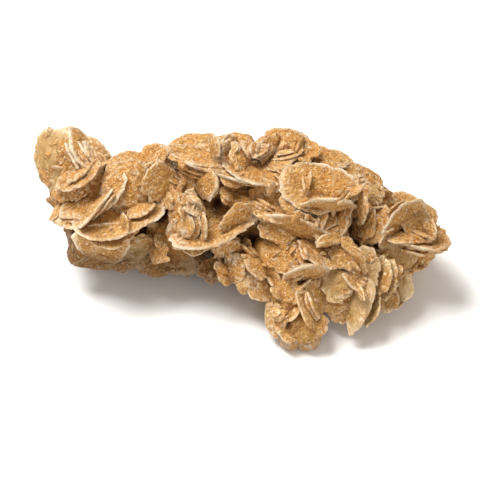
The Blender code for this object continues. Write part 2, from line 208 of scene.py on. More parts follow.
# Each blade is (right, up, out, half length, half width, hinge, tilt, dish). The hinge is the angle of
# its long axis in the layout plane, the tilt turns it about that axis, and the dish, where there is
# one, bends its rim.
FRONT_BLADES = [
    # ear
    (-71, 30, -8, 15.5, 12, 108, 20, -1.5), (-61, 34.6, -3, 11.3, 8.5, 120, -60),
    (-63, 25, 0, 10.5, 8, 34, 55, 1), (-58, 35, -6, 9, 7, -38, 50),
    # left bowl
    (-64, 11, -6, 11, 10, 10, 45, 0.5), (-48, 8.5, 2, 18, 14, 12, 44, 2.5), (-60, 15, -2, 12, 9, 25, 45),
    (-57, 12, 5, 11, 8, 47, 80), (-54, -1, 2, 11, 9, -10, -30), (-64.2, -3, -6, 7, 6, 80, 40),
    (-59, -6.5, -8, 10, 6.5, -8, -25), (-65, 2, -14, 7, 6, 110, 30), (-39, 12, 6, 6, 6, 25, 60),
    # left crest
    (-33, 22, 4, 10, 9.5, 60, -25), (-45, 22, 1, 11, 11, 20, 8), (-44, 28, -4, 12, 9, -5, 25),
    (-51, 20, 2, 9, 8, 60, 45), (-34, 31.5, -5, 9, 7.5, 25, 20),
    # middle
    (-10, 5.8, 2, 19.5, 13, 17, 46, 2), (-1, 8, 9, 8.5, 7, 35, -40), (-22, 7, 6, 10.5, 8, 100, 35),
    (-13, 22, 7, 6.5, 7, 95, 50), (4, 14, 3, 9, 8, -20, 40),
    # ridge
    (-16, 31.5, 1, 14, 10, -14, 60, 1), (4, 27, 2, 13.5, 10, -20, 58, 1), (-2, 34, -6, 13, 10, -8, 35),
    (-10, 36.5, 4, 5.5, 6, 98, 70), (-18, 36, -7, 12.3, 8.5, 12, 35), (-5, 35.5, -2, 7, 6.5, 80, -50),
    # crown
    (17, 37.2, -10, 11.5, 9, 6, 30), (23, 33, 0, 9, 8, 12, 48, 1), (17, 32, 1, 9, 8, 32, 60),
    (13, 35.5, -3, 7, 7, 60, -40), (12, 24, 3, 8, 7, 28, 30), (11, 18, 4, 7, 7, -10, -30),
    # big disc
    (30.5, 20, 8.5, 16, 10.3, -3, 16, 1.5), (34, 13, 11, 12, 9, 0, -72), (47, 14, 9, 8, 7, 97, 70),
    (22, 5, 8, 13.5, 7, -19, -62), (28, 8, 8, 11.5, 7, -30, 60), (15, 5, 5, 8, 7, -20, 20),
    # shoulder
    (36, 32, -4, 8.5, 8, -8, 58), (50, 22.5, -4, 9, 8.5, -35, 45), (53, 18, 2, 5.5, 5.5, 95, 55),
    (30, 32, -6, 8, 8, -20, 35), (44, 25, -2, 7, 7.5, -50, 30),
    # right rose
    (65.5, 12, -8, 11, 9, -12, 35), (63, 7, 3, 13, 10, 45, -55, 1.5), (53, 6, 4, 8.5, 8, 62, 45),
    (69.4, 0, 0, 13.3, 11, -12, 62, 2), (76, 0, -5, 7, 7, 70, 10), (71, -7, -4, 7, 7, 5, -40),
    # right foot
    (61, -7, 0, 9, 8.5, 0, -25), (64, -18, -2, 6.5, 5, 88, 15), (58, -15, 4, 8.5, 7, 82, 62),
    (55, -14, 6, 8.5, 7, 86, 55), (46, -23, 8, 13.5, 6.5, 78, 32, -1), (38, -18, 9, 6.5, 7.5, 0, 20),
    (44.5, -17, 12, 6.5, 4, -42, 65), (52, -28, 5, 7.5, 5, 68, 65), (48, -11, 8, 9, 7.5, 100, 18),
    # front foot
    (29, -5, 9, 8, 7, -35, 62), (26, -13, 11, 9.5, 7.5, 8, -68), (16, -18, 5, 11, 8.5, 82, 38),
    (26, -27, 11, 9, 7, -68, 65), (14, -31, 7, 7.5, 6, 100, 45), (29, -23, 7, 8, 7, 80, -35),
    (18.5, -36, 9, 5.5, 5, -30, 35), (2, -17.5, 4, 4, 4, 0, -10), (6, -10, 8, 7, 6, -50, 60),
    (-2, -11, 4, 7, 5, 95, 30),
    # under left
    (-39, -5, -3, 8, 8, 30, -25), (-24, -8.5, -5, 8, 7, -10, -35), (-46, -8.5, -8, 8, 5, 0, -20),
    (-5, -3, 3, 7, 6, 8, -45), (-33, -10.5, -6, 8, 5, 0, -20),
]

# Each lump of the sandy core is (right, up, out, radius). The blades grow from these.
CORE_LUMPS = [
    (-66, 27, -10, 7), (-58, 22, -9, 10), (-40, 19, -12, 14), (-54, 4, -13, 12), (-26, 0, -12, 13),
    (-3, 25, -14, 15), (8, 12, -14, 15.5), (20, 25, -14, 14), (34, 14, -12, 16), (54, 10, -10, 12),
    (66, 4, -6, 8), (35, -6, -5, 10), (54, -13, -5, 11), (14, -8, -5, 12), (0, -9, -6, 9),
    (22, -24, 3, 9), (42, -20, 0, 9),
]
FOOT_LUMPS = [
    (25, -34, 5, 8), (19.7, -38, 4.6, 5.5), (27, -38.5, 4.8, 5.8), (2, 38.5, -8, 4),
]
BACK_LUMPS = [
    (-66, 14, -16, 9), (-48, 10, -24, 14), (-48, 20, -19, 12), (-22, 8, -25, 16), (-18, 20, -21, 14),
    (5, 7, -25, 17), (6, 22, -22, 14), (29, 6, -22, 16), (28, 20, -20, 13), (50, 3, -18, 13),
    (66, 1, -13, 8),
]
LUMPS = CORE_LUMPS + FOOT_LUMPS + BACK_LUMPS
LOOSE_GRAINS = [(-50.4, 4.4, 8.4, 1.1)]  # white grains that stuck to the blades
PALE_LUMPS = FOOT_LUMPS[1:3] + LOOSE_GRAINS

# Blades that carry the stone at the back, upright in the world: (x, y, height of the middle, half
# length, half width, turn of the blade's plane about the vertical).
FEET = [
    (-50, 26, 9.0, 11.5, 10, 25), (-30, 31, 9.5, 12, 10.5, 110), (-4, 37, 9.5, 12, 10.5, 60),
    (20, 34, 9.5, 12, 10.5, 140), (42, 24, 9.0, 11.5, 10, 70), (56, 10, 8.0, 10, 9, 20),
    (-34, 12, 9.0, 11, 9.5, 165),
]

# The stone's outline seen square to the layout plane, as (right, up). Hidden blades stay inside it.
TOP_EDGE = [
    (-82, 24), (-78, 40), (-66, 43), (-58, 38.5), (-50, 34.5), (-38, 34), (-30, 38), (-12, 42), (4, 41),
    (26, 42), (32, 36), (42, 32.5), (56, 24), (62, 18), (70, 16.5), (76, 11), (81, 4),
]
BOTTOM_EDGE = [
    (-82, 22), (-76, 6), (-70, -3), (-64, -10), (-45, -12), (-28, -14), (-8, -16.5), (2, -20), (8, -24),
    (14, -34), (32, -34), (42, -33), (54, -27), (66, -25), (71, -12), (80, -4),
]

# Crystals too small for the solid, in the same form.
SMALL_BLADES = [
    (-45, 6, 8, 5, 6, 97, 75), (-38, 27, 8, 4.5, 5, -62, 60), (-27, 17, 4, 6, 6.5, 60, 20),
    (-14, 5, 10, 5.5, 5, 95, 75), (-22, 11, 9, 4.5, 5, -72, 70), (-18, 13, 8, 6, 6, -35, 55),
    (-21, 24, 2, 6, 6, 10, 10), (-5, 17, 6, 5, 6, -65, 60), (0, 32, 4, 6, 7, -60, 55),
    (7, 36, 0, 6, 6, 25, 60), (17, 37, -2, 4, 5, 85, 70), (23, 38, -14, 6, 7, -40, 35),
    (26.6, 22, 11, 5.5, 3, 80, 78), (44, 19, 11, 5, 6, 33, 75), (40, 7, 10, 5, 5, 80, 65),
    (55, 15.5, -6, 6, 6, 80, -20), (75, 3, 2, 5, 5, 85, 70), (68, -11, -6, 6, 5, 3, 75),
    (58, -24, 0, 5, 5, 90, 10), (41, -6, 7, 6, 7, 10, 15), (21, -28, 11, 5, 5, 48, 70),
    (-6, -14, 3, 4.5, 4, -55, 45), (8, -18.5, 3, 6.5, 6, -30, 20), (-32, -5, 1, 5, 4, 65, 30),
    (-11, -11.5, -3, 6.5, 6, 20, -15), (-59.5, 34, -4, 10.5, 8, 126, -66), (-66, 22, -4, 9, 8, 60, 35),
    (-5, 36.5, -10, 10, 7.5, -5, 40), (34, 4, 7, 9, 8, -25, 35), (12, 11, 6, 9, 7, -15, 50),
    (50, 5, 3, 8, 8, 66, 45), (66, 2, 2, 10, 9, -3, 66), (69, 7, 2, 8, 8, -60, 35),
    (45, -8, 9, 7, 7, -57, -60), (26, -7, 8, 7, 7, -42, 62), (31, -7.5, 9, 7, 7, -28, 68),
    (73, 9, -3, 6, 6.5, -45, 35), (18, -6, 6, 9, 8, 30, 25), (5, 35.5, -1, 6, 6, -40, 60),
    (39, -25, 5, 10, 6, 105, 15), (-61.5, 33, -1, 9, 5, -52, 68), (-59.5, 34.5, -3, 8.5, 5, -46, 74),
    (-64, 32, -1, 8, 4.5, -60, 62), (-58.5, 33, -2, 7, 4, -64, 76), (-61, 31, 0.5, 7, 4.5, -38, 66),
    (30, -33, 9, 5, 5, 20, 30), (62, -25, -3, 4, 4, 20, 60), (36, 7.5, 7, 8, 6, 15, 30),
    (31, 9, 9, 6, 5, 75, 55), (40, 11, 8, 6, 5, 60, 50), (24, 11, 7, 6.5, 5, -30, 45),
    (-5, 25.8, 4.5, 17, 6, -13, 64, 1), (-17, 31, 4.5, 12, 5, -14, 68), (-27, 25, 3, 7, 4, -40, 66),
    (-68.5, 36.5, -9.5, 8.5, 7, 75, 15),
]


def to_world(right, up, out):
    """A direction in the layout as a world direction."""
    back = up * math.sin(LEAN) - out * math.cos(LEAN)
    return Vector((right, back, up * math.cos(LEAN) + out * math.sin(LEAN)))


def to_layout(vector):
    """A world direction as (right, up, out) in the layout."""
    up = vector.y * math.sin(LEAN) + vector.z * math.cos(LEAN)
    return Vector((vector.x, up, vector.z * math.sin(LEAN) - vector.y * math.cos(LEAN)))


def place(right, up, out):
    """A point of the layout in world millimetres, with the stone's origin under its middle."""
    return to_world(right, up, out) + Vector((-CENTRE_X, -CENTRE_Y, LIFT))


def front_blade(right, up, out, long_half, wide_half, hinge, tilt, dish=0):
    """(middle, long axis, width axis, half length, half width, dish) of a blade of the layout."""
    hinge, tilt = math.radians(hinge), math.radians(tilt)
    along = to_world(math.cos(hinge), math.sin(hinge), 0)
    across = to_world(-math.sin(hinge), math.cos(hinge), 0) * math.cos(tilt)
    across -= to_world(0, 0, 1) * math.sin(tilt)
    return place(right, up, out), along, across, long_half, wide_half, dish


def foot_blade(x, y, height, long_half, wide_half, turn):
    """The same of an upright blade at the back."""
    turn = math.radians(turn)
    along = Vector((math.cos(turn), math.sin(turn), 0.15)).normalized()
    across = Vector((0, 0, 1)) - along * along.z
    return Vector((x - CENTRE_X, y - CENTRE_Y, height)), along, across.normalized(), long_half, wide_half, 0


def edge_height(edge, right):
    """The up value of an outline at this distance along it, or None past its ends."""
    for (x0, y0), (x1, y1) in zip(edge, edge[1:]):
        if x0 <= right <= x1:
            return y0 + (y1 - y0) * (right - x0) / (x1 - x0)
    return None


def inside_outline(blade):
    """Whether the blade's rim stays inside the outline and above the lowest height."""
    middle, along, across, long_half, wide_half, _ = blade
    for step in range(RIM_CHECKS):
        angle = math.tau * step / RIM_CHECKS
        rim = middle + along * long_half * math.cos(angle) + across * wide_half * math.sin(angle)
        flat = to_layout(rim - place(0, 0, 0))
        top = edge_height(TOP_EDGE, flat.x)
        bottom = edge_height(BOTTOM_EDGE, flat.x)
        if None in (top, bottom) or not bottom < flat.y < top or rim.z < LOWEST:
            return False
    return True


def even_directions(count):
    """Directions spread evenly over a sphere."""
    golden = math.pi * (3 - math.sqrt(5))
    for i in range(count):
        z = 1 - 2 * (i + 0.5) / count
        radius = math.sqrt(1 - z * z)
        yield Vector((radius * math.cos(golden * i), radius * math.sin(golden * i), z))


def buried(point, own):
    """Whether a point on one lump lies inside another."""
    for lump in LUMPS:
        if lump is own:
            continue
        if (point - place(*lump[:3])).length < lump[3] * BURIED:
            return True
    return False


def listed(blade, spots):
    """Whether the blade's middle is one of these spots of the layout."""
    return any((blade[0] - place(*spot)).length < 0.1 for spot in spots)


def in_recess(point):
    """Whether a point lies in front of or behind one of the recesses kept open."""
    flat = to_layout(point - place(0, 0, 0))
    return any(math.hypot(flat.x - right, flat.y - up) < radius for right, up, radius in RECESSES)


def upright_axes(direction, rng):
    """Two axes of a blade that stands on end along this direction, turned at random about it."""
    other = direction.orthogonal().normalized()
    other.rotate(Matrix.Rotation(rng.uniform(0, math.tau), 3, direction))
    lean = Matrix.Rotation(math.radians(rng.uniform(-25, 25)), 3, other)
    along = direction.copy()
    along.rotate(lean)
    return along.normalized(), other


def hidden_blades():
    """Blades over the back and the underside, standing out of the back lumps."""
    rng = random.Random(HIDDEN_SEED)
    viewer = to_world(0, 0, 1)
    blades = []
    for lump in BACK_LUMPS:
        middle = place(*lump[:3])
        for direction in even_directions(HIDDEN_TRIES):
            along, across = upright_axes(direction, rng)
            long_half = rng.uniform(*HIDDEN_LONG)
            wide_half = long_half * rng.uniform(0.75, 0.95)
            start = middle + direction * (lump[3] + rng.uniform(-1.5, 1.0))
            blade = (start, along, across, long_half, wide_half, rng.uniform(-1, 1))
            away = direction.dot(viewer) <= HIDDEN_FACING and not buried(start, lump)
            if away and inside_outline(blade):
                blades.append(blade)
    return blades


def crust_blades():
    """Small crystals set low on every lump, to fill the clefts between the blades."""
    rng = random.Random(CRUST_SEED)
    crust = []
    for lump in LUMPS:
        middle = place(*lump[:3])
        tries = int(CRUST_TRIES * (lump[3] / CRUST_LUMP) ** 2) + CRUST_FEWEST
        for direction in even_directions(tries):
            along, across = upright_axes(direction, rng)
            long_half = rng.uniform(*CRUST_LONG)
            wide_half = long_half * rng.uniform(0.6, 0.9)
            start = middle + direction * (lump[3] - rng.uniform(0.0, 1.5))
            blade = (start, along, across, long_half, wide_half, 0.0)
            hidden = buried(start, lump) or start.z < CRUST_LOWEST or in_recess(start)
            if not hidden and inside_outline(blade):
                crust.append(blade)
    return crust


def leaf_blades(blades):
    """Thin leaves beside the larger blades, but none in front of a whole blade."""
    rng = random.Random(LEAF_SEED)
    viewer = to_world(0, 0, 1)
    leaves = []
    for blade in blades:
        if blade[3] < LEAF_BLADE or listed(blade, CLEAR_BLADES):
            continue
        facing = blade[1].cross(blade[2])
        for side in (-1, 1):
            if listed(blade, WHOLE_BLADES) and side * facing.dot(viewer) > 0:
                continue
            leaves += leaf_stack(blade, side, rng)
    return leaves


def leaf_stack(blade, side, rng):
    """The leaves on one side of a blade, each turned a little further than the last."""
    middle, along, across, long_half, wide_half, dish = blade
    facing = along.cross(across)
    count = rng.choice((0, 1, 1, 2)) if long_half > LEAF_PAIR_BLADE else rng.choice((0, 0, 1))
    lift = 0.4 + 0.05 * wide_half
    turn, spin = 0.0, rng.uniform(-20, 20)
    lean = rng.choice((-1, 1))
    edge = rng.uniform(0, math.tau)
    leaves = []
    for _ in range(count):
        lift += rng.uniform(0.5, 1.3)
        turn += lean * rng.uniform(2, 12)
        spin += rng.uniform(-25, 25)
        share = rng.uniform(0.5, 0.9)
        slide = along * math.cos(edge) * long_half + across * math.sin(edge) * wide_half
        tip = Matrix.Rotation(math.radians(turn), 3, along)
        roll = Matrix.Rotation(math.radians(spin), 3, facing)
        leaf = (
            middle + slide * (1 - share) * rng.uniform(0.5, 1.25) + facing * side * lift,
            tip @ (roll @ along),
            tip @ (roll @ across),
            long_half * share,
            wide_half * share * rng.uniform(0.7, 1.0),
            dish * share,
        )
        if inside_outline(leaf) and not in_recess(leaf[0]):
            leaves.append(leaf)
    return leaves


def sprout_blades(blades):
    """Small slivers in parallel groups that stand out of the faces of the larger blades."""
    rng = random.Random(SPROUT_SEED)
    sprouts = []
    for blade in blades:
        groups = blade[3] * SPROUTS_PER_MM
        if listed(blade, WHOLE_BLADES):
            groups *= SPROUTS_WHOLE
        if listed(blade, CLEAR_BLADES):
            groups = 0
        for _ in range(int(groups)):
            sprouts += sprout_group(blade, rng)
    return sprouts


def sprout_group(blade, rng):
    """One to three slivers side by side, rooted at a place drawn on the blade's face."""
    middle, along, across, long_half, wide_half, _ = blade
    facing = along.cross(across)
    angle, out = rng.uniform(0, math.tau), math.sqrt(rng.uniform(0, 0.85))
    side = rng.choice((-1, 1))
    root = middle + along * math.cos(angle) * out * long_half
    root += across * math.sin(angle) * out * wide_half
    root += facing * side * (MIDDLE_HALF + SWELL * wide_half) * (1 - out) * 0.8
    hinge = along * math.cos(angle + rng.uniform(-0.9, 0.9))
    hinge += across * math.sin(angle + rng.uniform(-0.9, 0.9))
    hinge.normalize()
    steep = Matrix.Rotation(math.radians(rng.uniform(12, 60)) * rng.choice((-1, 1)), 3, hinge)
    width = steep @ facing.cross(hinge).normalized()
    sprout_long = rng.uniform(*SPROUT_LONG) * min(1.0, 0.4 + long_half / 16)
    sprouts = []
    for _ in range(rng.choice((1, 1, 2, 2, 3))):
        sprout = (root, hinge, width, sprout_long, sprout_long * rng.uniform(0.4, 0.7), 0.0)
        if inside_outline(sprout) and not in_recess(root):
            sprouts.append(sprout)
        root = root + hinge.cross(width) * rng.uniform(0.8, 2.2) + hinge * rng.uniform(-1.5, 1.5)
        fan = Matrix.Rotation(math.radians(rng.uniform(-16, 16)), 3, hinge)
        width = fan @ width
        sprout_long = max(SPROUT_LONG[0] * SPROUT_LEAST, sprout_long * rng.uniform(0.6, 1.05))
    return sprouts


def all_blades():
    """Every blade, from the solid's own to the finest slivers."""
    main = [front_blade(*row) for row in FRONT_BLADES]
    main += [foot_blade(*row) for row in FEET]
    main += hidden_blades()
    large = main + [front_blade(*row) for row in SMALL_BLADES]
    return large + leaf_blades(large) + crust_blades() + sprout_blades(large)


def rim_share(angle, number):
    """How far the rim reaches at an angle, as a share of the ellipse."""
    wave = 0.0
    for count, height, turn in WAVES:
        wave += height * math.sin(count * angle + turn * number)
    return 1.0 + wave


def worn_outline(number, whole, clear):
    """A function of the angle: the rim with its straight broken sides and a few bites."""
    rng = random.Random(number * 7 + 1)
    side_count = rng.choice(WHOLE_SIDES if whole else BROKEN_SIDES)
    if whole and clear:
        side_count = 0
    span = WHOLE_REACH if whole else BROKEN_REACH
    sides = [(rng.uniform(0, math.tau), rng.uniform(*span)) for _ in range(side_count)]
    bites = []
    for _ in range(rng.choice((0, 1, 2))):
        bites.append((rng.uniform(0, math.tau), rng.uniform(*BITE_DEPTH), rng.uniform(*BITE_WIDTH)))

    def reach(angle):
        share = rim_share(angle, number)
        for turn, far in sides:
            towards_cut = math.cos(angle - turn)
            if towards_cut > 0.3:
                share = min(share, far * 1.02 / towards_cut)
        for turn, depth, width in bites:
            away = math.remainder(angle - turn, math.tau) / width
            share -= depth * math.exp(-away * away)
        return share

    return reach


def roughness(spot, sizes):
    """Noises added up at a spot, each given as (waves for each mm, height)."""
    return sum(height * noise.noise(spot * waves) for waves, height in sizes)


class Lens:
    """The worn surface of one blade."""

    def __init__(self, blade, number):
        self.middle, self.along, self.across, self.long_half, self.wide_half, self.dish = blade
        self.number = number
        self.facing = self.along.cross(self.across)
        self.mean = (self.long_half + self.wide_half) / 2
        self.middle_half = MIDDLE_HALF + SWELL * self.wide_half
        self.rim_half = RIM_HALF + RIM_SWELL * self.mean
        self.band = min(BAND_START, 1 - RIM_BAND / self.wide_half)
        whole = listed(blade, WHOLE_BLADES)
        self.outline = worn_outline(number, whole, listed(blade, CLEAR_BLADES))
        self.pointed = 0.0 if whole else POINTS[number % len(POINTS)]
        if listed(blade, POINTED_BLADES):
            self.pointed = max(POINTS)

    def reach(self, share, angle):
        """How far out a point lies, as a share of the ellipse, with the rim's nicks."""
        if share == 0:
            return 0.0
        reach = 1 + (self.outline(angle) - 1) * min(1.0, share * 1.5)
        spot = Vector((math.cos(angle), math.sin(angle), 0)) * self.mean
        spot.z = self.number * 3.7
        nick = roughness(spot, CHIP_NOISE)
        return reach + share**3 * CHIP * min(1.0, self.mean / CHIP_FULL) * nick / self.mean

    def half_thickness(self, share, x, y, side):
        """Half the blade's thickness here, with its ridges, and 0 on the rim itself."""
        if share == 1:
            half = 0.0
        elif share > self.band + 0.001:
            half = self.rim_half * BAND_THIN
        else:
            half = self.rim_half + (self.middle_half - self.rim_half) * max(0.0, 1 - share**LENS_POWER)
        spot = Vector((x * RELIEF_DRAW[0], y * RELIEF_DRAW[1], self.number * 5.1 + side * 40))
        ridges = roughness(spot, RELIEF_NOISE)
        half += RELIEF * ridges * min(1.0, 2.2 - 2.2 * share) * min(1.0, self.mean / RELIEF_FULL)
        return max(half, 0.0 if share == 1 else LEAST_HALF)

    def point(self, share, angle, side):
        """A point of the surface, and its (x, y, way from the rim) on the face."""
        reach = self.reach(share, angle)
        taper = abs(math.sin(angle)) ** self.pointed
        x = math.cos(angle) * share * reach * self.long_half
        y = math.sin(angle) * taper * share * reach * self.wide_half
        half = self.half_thickness(share, x, y, side)
        wave = noise.noise(Vector((x / WARP_WAVE, y / WARP_WAVE, self.number * 2.3)))
        z = side * half + self.dish * share * share + WARP * self.long_half * wave
        spot = self.middle + self.along * x + self.across * y + self.facing * z
        return spot, (x, y, self.wide_half * (1 - share))


def face_triangles(first, segments, rings):
    """Triangles of one face: a fan about its middle point, then a band for each further ring."""
    faces = []
    for i in range(segments):
        faces.append((first, first + 1 + i, first + 1 + (i + 1) % segments))
    for ring in range(rings - 1):
        low = first + 1 + ring * segments
        for i in range(segments):
            j = (i + 1) % segments
            faces.append((low + i, low + segments + i, low + segments + j))
            faces.append((low + i, low + segments + j, low + j))
    return faces


def rim_triangles(top, bottom, rim, segments):
    """Triangles that join the last rings of the two faces to the points of the rim."""
    faces = []
    for i in range(segments):
        j = (i + 1) % segments
        faces.append((top + i, rim + i, rim + j))
        faces.append((top + i, rim + j, top + j))
        faces.append((bottom + i, rim + j, rim + i))
        faces.append((bottom + i, bottom + j, rim + j))
    return faces


def lens_arrays(blade, number):
    """Points, triangles and places on the face of a blade: two faces of rings that share a rim."""
    lens = Lens(blade, number)
    short = lens.long_half <= SHORT_BLADE
    step, ring_step = (SMALL_SPACING, SMALL_RING_STEP) if short else (SPACING, RING_STEP)
    segments = max(FEWEST_SEGMENTS, int(math.tau * lens.mean / step))
    rings = max(FEWEST_RINGS, int(lens.wide_half / ring_step))
    shares = [lens.band * (i + 1) / rings for i in range(rings)] + [(lens.band + 1) / 2 + BAND_RING]
    angles = [math.tau * i / segments for i in range(segments)]
    points, faces = [], []
    for side in (1, -1):
        triangles = face_triangles(len(points), segments, len(shares))
        faces += triangles if side > 0 else [triangle[::-1] for triangle in triangles]
        points.append(lens.point(0, 0, side))
        points += [lens.point(share, angle, side) for share in shares for angle in angles]
    per_side = 1 + segments * len(shares)
    faces += rim_triangles(per_side - segments, 2 * per_side - segments, 2 * per_side, segments)
    points += [lens.point(1, angle, 1) for angle in angles]
    spots, places = zip(*points)
    return spots, faces, np.array(places, np.float32)


def set_layers(mesh, face_cm, rim_mm, key):
    """Fills the two UV layers from a place on the face and a way from the rim for each point."""
    mesh.uv_layers.new(name=FACE_LAYER)
    mesh.uv_layers.new(name=INFO_LAYER)
    corner = np.empty(len(mesh.loops), np.int32)
    mesh.loops.foreach_get("vertex_index", corner)
    mesh.uv_layers[FACE_LAYER].data.foreach_set("uv", face_cm[corner].ravel())
    info = np.stack([rim_mm[corner], np.full(len(corner), key, np.float32)], 1)
    mesh.uv_layers[INFO_LAYER].data.foreach_set("uv", info.ravel())


def new_object(name, data, collection=None):
    thing = bpy.data.objects.new(name, data)
    (collection or bpy.context.scene.collection).objects.link(thing)
    return thing


def blade_object(blade, number, collection):
    name = f"blade_{number}"
    spots, faces, places = lens_arrays(blade, number)
    mesh = bpy.data.meshes.new(name)
    mesh.from_pydata([spot * MM for spot in spots], [], faces)
    key = math.fmod(number * KEY_STEP, 1.0)
    if listed(blade, CLEAR_BLADES):
        key += CLEAR_KEY
    if listed(blade, WHOLE_BLADES):
        key += WHOLE_KEY
    set_layers(mesh, places[:, :2] * 0.1, places[:, 2], key)
    return new_object(name, mesh, collection)


def lump_object(lump, collection):
    radius = lump[3]
    bm = bmesh.new()
    bmesh.ops.create_icosphere(bm, subdivisions=4 if radius > GRAIN_RADIUS else 2, radius=radius)
    middle = place(*lump[:3])
    for vertex in bm.verts:
        point = middle + vertex.co
        swell = (roughness(point, LUMP_NOISE) - LUMP_SUNK) * min(1, radius / LUMP_FULL)
        vertex.co = (point + vertex.co.normalized() * swell) * MM
    mesh = bpy.data.meshes.new("lump")
    bm.to_mesh(mesh)
    bm.free()
    spots = np.empty(len(mesh.vertices) * 3, np.float32)
    mesh.vertices.foreach_get("co", spots)
    face_cm = spots.reshape(-1, 3)[:, :2] * 100
    key = PALE_KEY if lump in PALE_LUMPS else LUMP_KEY
    set_layers(mesh, face_cm, np.full(len(face_cm), LUMP_RIM, np.float32), key)
    return new_object("lump", mesh, collection)


def join_all(things, helpers):
    """Joins the closed shapes in groups, then the groups, until one skin is left."""
    while len(things) > 1:
        groups = [things[i : i + GROUP] for i in range(0, len(things), GROUP)]
        things = [union(group, helpers) for group in groups]
    return things[0]


def union(group, helpers):
    if len(group) == 1:
        return group[0]
    tools = bpy.data.collections.new("tools")
    for thing in group[1:]:
        tools.objects.link(thing)
    join = group[0].modifiers.new("join", "BOOLEAN")
    join.operation = "UNION"
    join.operand_type = "COLLECTION"
    join.collection = tools
    join.solver = "MANIFOLD"
    joined = applied(group[0], helpers)
    for old in group:
        remove(old)
    bpy.data.collections.remove(tools)
    return joined


def remove(thing):
    data = thing.data
    bpy.data.objects.remove(thing, do_unlink=True)
    bpy.data.meshes.remove(data)


def applied(thing, helpers):
    """A new object with this one's modifiers worked into its mesh."""
    bpy.context.view_layer.update()
    graph = bpy.context.evaluated_depsgraph_get()
    mesh = bpy.data.meshes.new_from_object(thing.evaluated_get(graph))
    return new_object("joined", mesh, helpers)


def trim_floor(thing, helpers):
    """Cuts the skin level with the floor, as the worn feet are."""
    bm = bmesh.new()
    bmesh.ops.create_cube(bm, size=1.0)
    bmesh.ops.scale(bm, verts=bm.verts, vec=Vector(FLOOR_BLOCK))
    bmesh.ops.translate(bm, verts=bm.verts, vec=Vector((0, 0, -FLOOR_BLOCK[2] / 2)))
    mesh = bpy.data.meshes.new("floor_block")
    bm.to_mesh(mesh)
    bm.free()
    mesh.uv_layers.new(name=FACE_LAYER)
    mesh.uv_layers.new(name=INFO_LAYER)
    block = new_object("floor_block", mesh, helpers)
    trim = thing.modifiers.new("trim", "BOOLEAN")
    trim.operation = "DIFFERENCE"
    trim.object = block
    trim.solver = "MANIFOLD"
    cut = applied(thing, helpers)
    remove(thing)
    remove(block)
    return cut


def shells_of(mesh):
    """A number for each point that tells which closed shell it belongs to."""
    ends = np.empty(len(mesh.edges) * 2, np.int32)
    mesh.edges.foreach_get("vertices", ends)
    ends = ends.reshape(-1, 2)
    label = np.arange(len(mesh.vertices))
    while True:
        low = np.minimum(label[ends[:, 0]], label[ends[:, 1]])
        new = label.copy()
        np.minimum.at(new, ends[:, 0], low)
        np.minimum.at(new, ends[:, 1], low)
        new = new[new]
        if (new == label).all():
            return label
        label = new


def keep_outer_shell(mesh):
    """Deletes every closed shell but the one with the most points."""
    label = shells_of(mesh)
    names, sizes = np.unique(label, return_counts=True)
    main = names[sizes.argmax()]
    bm = bmesh.new()
    bm.from_mesh(mesh)
    bm.verts.ensure_lookup_table()
    gone = [bm.verts[i] for i in np.nonzero(label != main)[0]]
    bmesh.ops.delete(bm, geom=gone, context="VERTS")
    bm.to_mesh(mesh)
    bm.free()


def thinned(thing, helpers):
    """Takes points out of the flat parts of the skin until it holds few enough triangles."""
    count = sum(len(face.vertices) - 2 for face in thing.data.polygons)
    thin = thing.modifiers.new("thin", "DECIMATE")
    thin.ratio = min(1.0, MOST_TRIANGLES / count)
    thin.use_collapse_triangulate = True
    light = applied(thing, helpers)
    remove(thing)
    return light


def sand_rose():
    """The whole stone as one closed skin with its material."""
    helpers = bpy.data.collections.new("helpers")
    bpy.context.scene.collection.children.link(helpers)
    things = [blade_object(blade, number, helpers) for number, blade in enumerate(all_blades())]
    things += [lump_object(lump, helpers) for lump in LUMPS + LOOSE_GRAINS]
    skin = trim_floor(join_all(things, helpers), helpers)
    keep_outer_shell(skin.data)
    skin = thinned(skin, helpers)
    stone = new_object("sand_rose_skin", skin.data)
    bpy.data.objects.remove(skin, do_unlink=True)
    bpy.data.collections.remove(helpers)
    stone.data.materials.clear()
    stone.data.materials.append(gypsum_material())
    return stone


def set_inputs(node, values):
    for name, value in values.items():
        node.inputs[name].default_value = value


